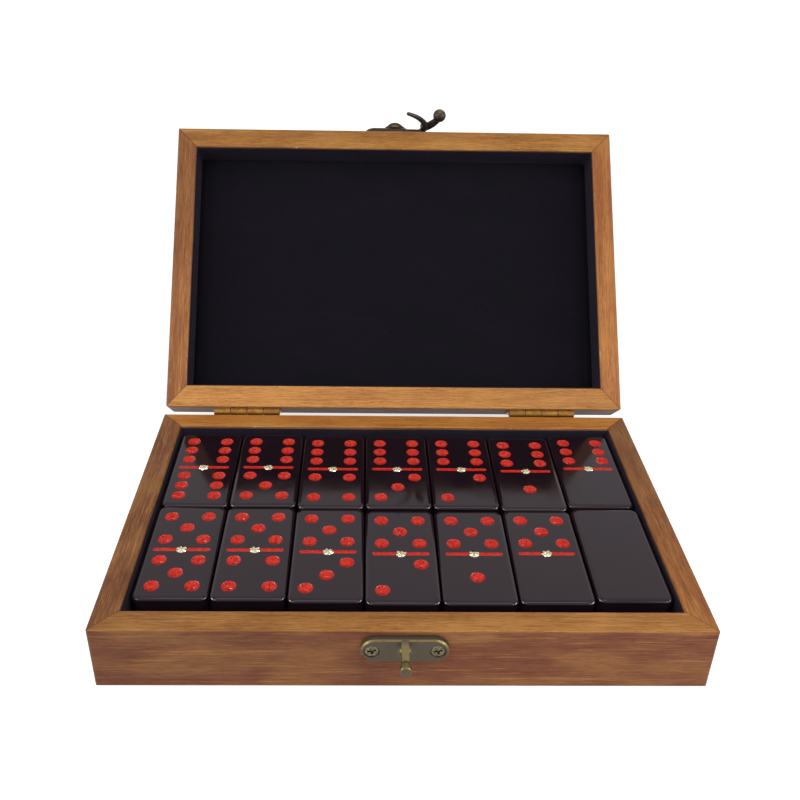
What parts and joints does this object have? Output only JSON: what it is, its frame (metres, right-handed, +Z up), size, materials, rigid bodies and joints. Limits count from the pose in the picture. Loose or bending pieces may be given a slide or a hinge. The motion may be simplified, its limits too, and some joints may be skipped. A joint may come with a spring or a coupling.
{
  "type": "domino storage box",
  "caption": "Hinged wooden storage box for a set of dominoes, with mitred rails, a dark velvet lining, pinned brass hinges and a swing hook that catches on a peg.",
  "frame": {"origin": "middle of the flat face that the base rests on", "axes": "+X to the right as the open box faces the viewer, +Y from the front, where the catch is, to the hinges, +Z up"},
  "size_m": [0.198, 0.238, 0.134],
  "materials": {
    "base_wood": "oiled, fine open grain",
    "lid_wood": "oiled, fine open grain",
    "panel_wood": "oiled",
    "velvet": "short pile velvet",
    "hinge_brass": "bright, lightly worn",
    "antique_brass": "darkened, with rubbed edges",
    "tile_black": "polished"
  },
  "bodies": {
    "base": {"base_front_rail": "base_wood", "base_back_rail": "base_wood", "base_left_rail": "base_wood", "base_right_rail": "base_wood", "base_floor_panel": "panel_wood", "base_floor_lining": "velvet", "base_wall_lining": "velvet", "left_hinge_base_leaf": "hinge_brass", "left_hinge_pin": "hinge_brass", "right_hinge_base_leaf": "hinge_brass", "right_hinge_pin": "hinge_brass", "hinge_base_screws": "hinge_brass", "catch_plate": "antique_brass", "catch_screws": "antique_brass"},
    "lid": {"lid_front_rail": "lid_wood", "lid_back_rail": "lid_wood", "lid_left_rail": "lid_wood", "lid_right_rail": "lid_wood", "lid_top_panel": "panel_wood", "lid_top_lining": "velvet", "lid_wall_lining": "velvet", "left_hinge_lid_leaf": "hinge_brass", "right_hinge_lid_leaf": "hinge_brass", "hinge_lid_screws": "hinge_brass", "latch_plate": "antique_brass", "latch_screws": "antique_brass", "latch_rivet": "antique_brass"},
    "latch": {"latch_hook": "antique_brass"},
    "tile_4_4": {"tile_4_4": "tile_black"},
    "tile_6_6": {"tile_6_6": "tile_black"},
    "tile_4_3": {"tile_4_3": "tile_black"},
    "tile_6_5": {"tile_6_5": "tile_black"},
    "tile_4_2": {"tile_4_2": "tile_black"},
    "tile_6_4": {"tile_6_4": "tile_black"},
    "tile_4_1": {"tile_4_1": "tile_black"},
    "tile_6_3": {"tile_6_3": "tile_black"},
    "tile_4_0": {"tile_4_0": "tile_black"},
    "tile_6_2": {"tile_6_2": "tile_black"},
    "tile_3_3": {"tile_3_3": "tile_black"},
    "tile_6_1": {"tile_6_1": "tile_black"},
    "tile_3_2": {"tile_3_2": "tile_black"},
    "tile_6_0": {"tile_6_0": "tile_black"},
    "tile_3_1": {"tile_3_1": "tile_black"},
    "tile_5_5": {"tile_5_5": "tile_black"},
    "tile_3_0": {"tile_3_0": "tile_black"},
    "tile_5_4": {"tile_5_4": "tile_black"},
    "tile_2_2": {"tile_2_2": "tile_black"},
    "tile_5_3": {"tile_5_3": "tile_black"},
    "tile_2_1": {"tile_2_1": "tile_black"},
    "tile_5_2": {"tile_5_2": "tile_black"},
    "tile_2_0": {"tile_2_0": "tile_black"},
    "tile_5_1": {"tile_5_1": "tile_black"},
    "tile_1_1": {"tile_1_1": "tile_black"},
    "tile_5_0": {"tile_5_0": "tile_black"},
    "tile_1_0": {"tile_1_0": "tile_black"},
    "tile_0_0": {"tile_0_0": "tile_black"}
  },
  "joints": [
    {"name": "lid_hinge", "type": "hinge", "parent": "base", "child": "lid", "pos_m": [0, 0.06656, 0.0242], "axis": [-1, 0, 0], "range_deg": [-130, 0]},
    {"name": "latch_swing", "type": "hinge", "parent": "lid", "child": "latch", "pos_m": [0, 0.15574, 0.12045], "axis": [0, 0.6428, 0.766], "range_deg": [-40, 180]},
    {"name": "tile_4_4_lift", "type": "slide", "parent": "base", "child": "tile_4_4", "axis": [0, 0, 1], "range_m": [0, 0.04]},
    {"name": "tile_6_6_lift", "type": "slide", "parent": "tile_4_4", "child": "tile_6_6", "axis": [0, 0, 1], "range_m": [0, 0.04]},
    {"name": "tile_4_3_lift", "type": "slide", "parent": "base", "child": "tile_4_3", "axis": [0, 0, 1], "range_m": [0, 0.04]},
    {"name": "tile_6_5_lift", "type": "slide", "parent": "tile_4_3", "child": "tile_6_5", "axis": [0, 0, 1], "range_m": [0, 0.04]},
    {"name": "tile_4_2_lift", "type": "slide", "parent": "base", "child": "tile_4_2", "axis": [0, 0, 1], "range_m": [0, 0.04]},
    {"name": "tile_6_4_lift", "type": "slide", "parent": "tile_4_2", "child": "tile_6_4", "axis": [0, 0, 1], "range_m": [0, 0.04]},
    {"name": "tile_4_1_lift", "type": "slide", "parent": "base", "child": "tile_4_1", "axis": [0, 0, 1], "range_m": [0, 0.04]},
    {"name": "tile_6_3_lift", "type": "slide", "parent": "tile_4_1", "child": "tile_6_3", "axis": [0, 0, 1], "range_m": [0, 0.04]},
    {"name": "tile_4_0_lift", "type": "slide", "parent": "base", "child": "tile_4_0", "axis": [0, 0, 1], "range_m": [0, 0.04]},
    {"name": "tile_6_2_lift", "type": "slide", "parent": "tile_4_0", "child": "tile_6_2", "axis": [0, 0, 1], "range_m": [0, 0.04]},
    {"name": "tile_3_3_lift", "type": "slide", "parent": "base", "child": "tile_3_3", "axis": [0, 0, 1], "range_m": [0, 0.04]},
    {"name": "tile_6_1_lift", "type": "slide", "parent": "tile_3_3", "child": "tile_6_1", "axis": [0, 0, 1], "range_m": [0, 0.04]},
    {"name": "tile_3_2_lift", "type": "slide", "parent": "base", "child": "tile_3_2", "axis": [0, 0, 1], "range_m": [0, 0.04]},
    {"name": "tile_6_0_lift", "type": "slide", "parent": "tile_3_2", "child": "tile_6_0", "axis": [0, 0, 1], "range_m": [0, 0.04]},
    {"name": "tile_3_1_lift", "type": "slide", "parent": "base", "child": "tile_3_1", "axis": [0, 0, 1], "range_m": [0, 0.04]},
    {"name": "tile_5_5_lift", "type": "slide", "parent": "tile_3_1", "child": "tile_5_5", "axis": [0, 0, 1], "range_m": [0, 0.04]},
    {"name": "tile_3_0_lift", "type": "slide", "parent": "base", "child": "tile_3_0", "axis": [0, 0, 1], "range_m": [0, 0.04]},
    {"name": "tile_5_4_lift", "type": "slide", "parent": "tile_3_0", "child": "tile_5_4", "axis": [0, 0, 1], "range_m": [0, 0.04]},
    {"name": "tile_2_2_lift", "type": "slide", "parent": "base", "child": "tile_2_2", "axis": [0, 0, 1], "range_m": [0, 0.04]},
    {"name": "tile_5_3_lift", "type": "slide", "parent": "tile_2_2", "child": "tile_5_3", "axis": [0, 0, 1], "range_m": [0, 0.04]},
    {"name": "tile_2_1_lift", "type": "slide", "parent": "base", "child": "tile_2_1", "axis": [0, 0, 1], "range_m": [0, 0.04]},
    {"name": "tile_5_2_lift", "type": "slide", "parent": "tile_2_1", "child": "tile_5_2", "axis": [0, 0, 1], "range_m": [0, 0.04]},
    {"name": "tile_2_0_lift", "type": "slide", "parent": "base", "child": "tile_2_0", "axis": [0, 0, 1], "range_m": [0, 0.04]},
    {"name": "tile_5_1_lift", "type": "slide", "parent": "tile_2_0", "child": "tile_5_1", "axis": [0, 0, 1], "range_m": [0, 0.04]},
    {"name": "tile_1_1_lift", "type": "slide", "parent": "base", "child": "tile_1_1", "axis": [0, 0, 1], "range_m": [0, 0.04]},
    {"name": "tile_5_0_lift", "type": "slide", "parent": "tile_1_1", "child": "tile_5_0", "axis": [0, 0, 1], "range_m": [0, 0.04]},
    {"name": "tile_1_0_lift", "type": "slide", "parent": "base", "child": "tile_1_0", "axis": [0, 0, 1], "range_m": [0, 0.04]},
    {"name": "tile_0_0_lift", "type": "slide", "parent": "tile_1_0", "child": "tile_0_0", "axis": [0, 0, 1], "range_m": [0, 0.04]}
  ]
}
